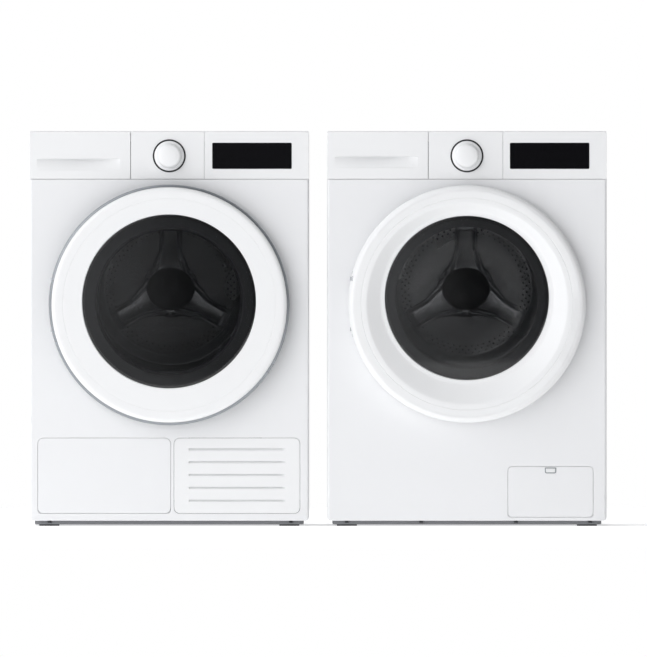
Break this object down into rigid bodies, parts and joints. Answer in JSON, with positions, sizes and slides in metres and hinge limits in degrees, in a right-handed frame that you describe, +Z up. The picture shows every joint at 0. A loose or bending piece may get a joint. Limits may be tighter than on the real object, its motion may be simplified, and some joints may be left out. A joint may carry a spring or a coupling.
{
  "type": "washing machine and tumble dryer pair",
  "caption": "White front-loading washing machine and heat-pump tumble dryer standing side by side, with round doors, detergent drawer, condensate container and turning drums.",
  "frame": {"origin": "on the floor, at the middle of the bounding box of both machines", "axes": "+X to the right seen from the front, +Y to the back (doors face -Y), +Z up"},
  "size_m": [1.235, 0.645, 0.845],
  "materials": {
    "white_enamel": "gloss",
    "white_plastic": "satin",
    "white_matt": "matt",
    "grey_plastic": "matt",
    "trim_grey": "satin",
    "black_plastic": "satin",
    "black_glass": "polished",
    "smoked_glass": "polished",
    "clear_glass": "polished",
    "stainless": "brushed",
    "galvanised": "matt",
    "cast_alloy": "matt",
    "rubber_grey": "matt",
    "rubber_black": "matt",
    "tub_plastic": "matt",
    "concrete": "rough",
    "cast_iron": "rough"
  },
  "bodies": {
    "cabinets": {"side_panels": "white_enamel", "worktops": "white_plastic", "rear_panels": "galvanised", "levelling_feet": "rubber_black", "displays": "black_glass", "control_boards": "black_plastic", "knob_rings": "black_plastic", "hinge_brackets": "cast_alloy", "door_locks": "black_plastic", "motors": "cast_iron", "drive_belts": "rubber_black", "panel_screws": "black_plastic", "washer_front_panel": "white_enamel", "washer_base": "grey_plastic", "washer_fascia": "white_plastic", "washer_dispenser_housing": "white_matt", "washer_tub": "tub_plastic", "washer_door_seal": "rubber_grey", "washer_bearings": "stainless", "washer_counterweight": "concrete", "washer_suspension": "galvanised", "washer_drain_pump": "grey_plastic", "washer_water_pipes": "white_matt", "dryer_front_panel": "white_enamel", "dryer_base": "grey_plastic", "dryer_fascia": "white_plastic", "dryer_container_housing": "white_matt", "dryer_intake_grille": "white_plastic", "dryer_bulkheads": "galvanised", "dryer_heat_pump": "cast_alloy"},
    "washer_door": {"washer_door_frame": "white_plastic", "washer_door_inner_frame": "white_matt", "washer_door_window": "smoked_glass", "washer_door_bowl": "clear_glass", "washer_door_fittings": "stainless"},
    "washer_drum_body": {"washer_drum": "stainless", "washer_drum_lifters": "stainless", "washer_drum_star": "stainless", "washer_drum_shaft": "cast_alloy", "washer_drum_pulley": "cast_alloy"},
    "washer_motor_rotor": {"washer_motor_pulley": "stainless"},
    "washer_knob_body": {"washer_knob": "white_plastic"},
    "washer_drawer_body": {"washer_drawer": "white_plastic"},
    "washer_flap_body": {"washer_filter_flap": "white_plastic"},
    "washer_filter_body": {"washer_filter_cap": "grey_plastic"},
    "dryer_door": {"dryer_door_frame": "white_plastic", "dryer_door_trim": "trim_grey", "dryer_door_glass": "smoked_glass", "dryer_door_liner": "grey_plastic", "dryer_door_fittings": "stainless"},
    "dryer_drum_body": {"dryer_drum": "stainless", "dryer_drum_lifters": "grey_plastic", "dryer_drum_star": "stainless"},
    "dryer_knob_body": {"dryer_knob": "white_plastic"},
    "dryer_container_body": {"dryer_water_container": "white_plastic"},
    "dryer_service_body": {"dryer_service_door": "white_plastic"},
    "dryer_filter_body": {"dryer_lint_filter": "grey_plastic"},
    "dryer_fan_body": {"dryer_fan": "grey_plastic"},
    "dryer_roller_left_body": {"dryer_roller_left": "rubber_black"},
    "dryer_roller_right_body": {"dryer_roller_right": "rubber_black"}
  },
  "joints": [
    {"name": "washer_door_hinge", "type": "hinge", "parent": "cabinets", "child": "washer_door", "pos_m": [0.0755, -0.2995, 0.475], "axis": [0, 0, -1], "range_deg": [0, 140]},
    {"name": "washer_drum_spin", "type": "hinge", "parent": "cabinets", "child": "washer_drum_body", "pos_m": [0.3185, -0.0225, 0.508], "axis": [0, 1, 0], "continuous": true},
    {"name": "washer_motor_spin", "type": "hinge", "parent": "cabinets", "child": "washer_motor_rotor", "pos_m": [0.3185, 0.2125, 0.165], "axis": [0, 1, 0], "continuous": true},
    {"name": "washer_knob_turn", "type": "hinge", "parent": "cabinets", "child": "washer_knob_body", "pos_m": [0.3185, -0.2875, 0.792], "axis": [0, -1, 0], "continuous": true},
    {"name": "washer_drawer_slide", "type": "slide", "parent": "cabinets", "child": "washer_drawer_body", "axis": [0, -1, 0], "range_m": [0, 0.23]},
    {"name": "washer_flap_hinge", "type": "hinge", "parent": "cabinets", "child": "washer_flap_body", "pos_m": [0.4975, -0.2757, 0.0208], "axis": [1, 0, 0], "range_deg": [0, 85]},
    {"name": "washer_filter_turn", "type": "hinge", "parent": "cabinets", "child": "washer_filter_body", "pos_m": [0.4975, -0.2575, 0.079], "axis": [0, 1, 0], "range_deg": [0, 360]},
    {"name": "dryer_door_hinge", "type": "hinge", "parent": "cabinets", "child": "dryer_door", "pos_m": [-0.565, -0.2995, 0.473], "axis": [0, 0, -1], "range_deg": [0, 140]},
    {"name": "dryer_drum_spin", "type": "hinge", "parent": "cabinets", "child": "dryer_drum_body", "pos_m": [-0.3185, 0.0125, 0.508], "axis": [0, 1, 0], "continuous": true},
    {"name": "dryer_knob_turn", "type": "hinge", "parent": "cabinets", "child": "dryer_knob_body", "pos_m": [-0.3185, -0.2875, 0.792], "axis": [0, -1, 0], "continuous": true},
    {"name": "dryer_container_slide", "type": "slide", "parent": "cabinets", "child": "dryer_container_body", "axis": [0, -1, 0], "range_m": [0, 0.3]},
    {"name": "dryer_service_door_hinge", "type": "hinge", "parent": "cabinets", "child": "dryer_service_body", "pos_m": [-0.4575, -0.2757, 0.0288], "axis": [1, 0, 0], "range_deg": [0, 85]},
    {"name": "dryer_lint_filter_lift", "type": "slide", "parent": "cabinets", "child": "dryer_filter_body", "axis": [0, 0, 1], "range_m": [0, 0.12]},
    {"name": "dryer_fan_spin", "type": "hinge", "parent": "cabinets", "child": "dryer_fan_body", "pos_m": [-0.1985, 0.0725, 0.15], "axis": [0, 1, 0], "continuous": true},
    {"name": "dryer_roller_left_spin", "type": "hinge", "parent": "cabinets", "child": "dryer_roller_left_body", "pos_m": [-0.47641, -0.1745, 0.28249], "axis": [0, 1, 0], "continuous": true},
    {"name": "dryer_roller_right_spin", "type": "hinge", "parent": "cabinets", "child": "dryer_roller_right_body", "pos_m": [-0.16059, -0.1745, 0.28249], "axis": [0, 1, 0], "continuous": true}
  ],
  "couplings": [
    {"joint": "washer_motor_spin", "follows": "washer_drum_spin", "ratio": 14},
    {"joint": "dryer_fan_spin", "follows": "dryer_drum_spin", "ratio": 31.25},
    {"joint": "dryer_roller_left_spin", "follows": "dryer_drum_spin", "ratio": -10},
    {"joint": "dryer_roller_right_spin", "follows": "dryer_drum_spin", "ratio": -10}
  ]
}
